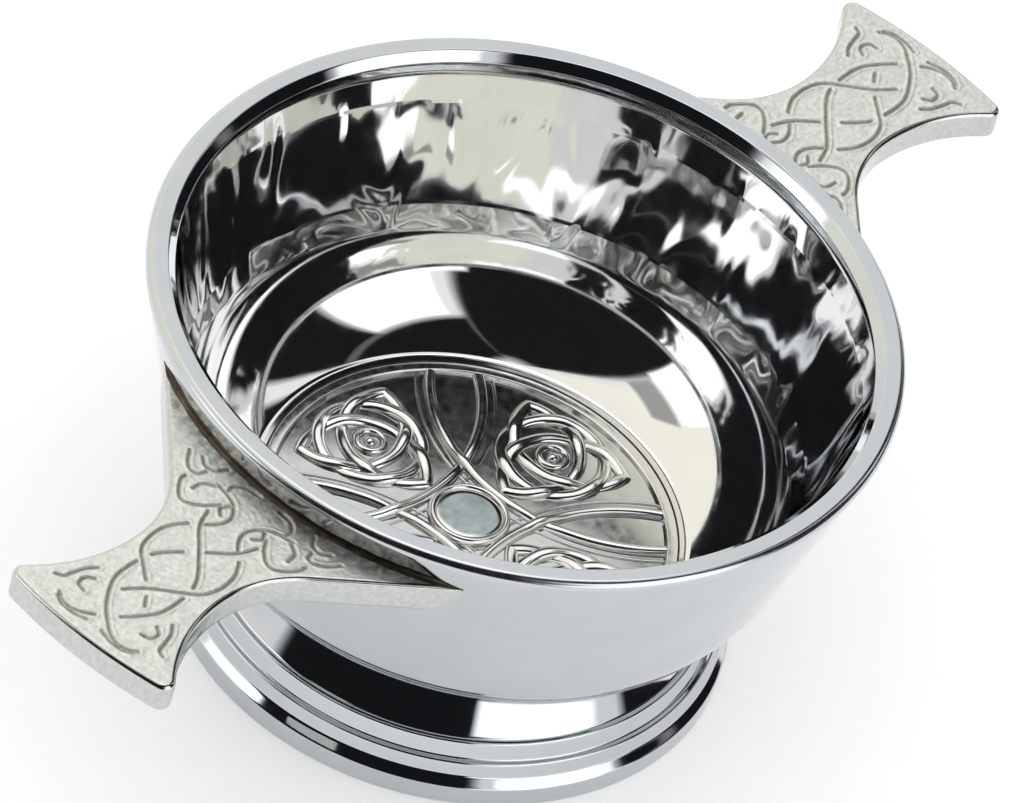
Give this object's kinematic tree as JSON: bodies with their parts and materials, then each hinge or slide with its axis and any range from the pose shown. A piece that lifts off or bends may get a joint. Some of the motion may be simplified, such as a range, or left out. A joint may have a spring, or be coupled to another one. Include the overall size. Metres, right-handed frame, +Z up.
{
  "type": "quaich",
  "caption": "Shallow pewter drinking bowl with a flared polished wall, flat carved lugs as handles, a spread hollow foot and a cast cross medallion let into its floor.",
  "frame": {"origin": "on the bowl's axis, in the plane that the foot stands on", "axes": "+Z up along the bowl's axis, +X along the lugs from one to the other"},
  "size_m": [0.1728, 0.1, 0.0546],
  "materials": {
    "polished_pewter": "mirror polished pewter",
    "cast_pewter": "satin cast pewter, antiqued in its hollows",
    "solder": "dull tin solder"
  },
  "bodies": {
    "root": {"bowl": "polished_pewter", "base_medallion": "cast_pewter", "medallion_solder": "solder", "foot": "polished_pewter", "foot_solder": "solder", "lug_left": "cast_pewter", "lug_right": "cast_pewter", "lug_solder_left": "solder", "lug_solder_right": "solder"}
  },
  "joints": []
}
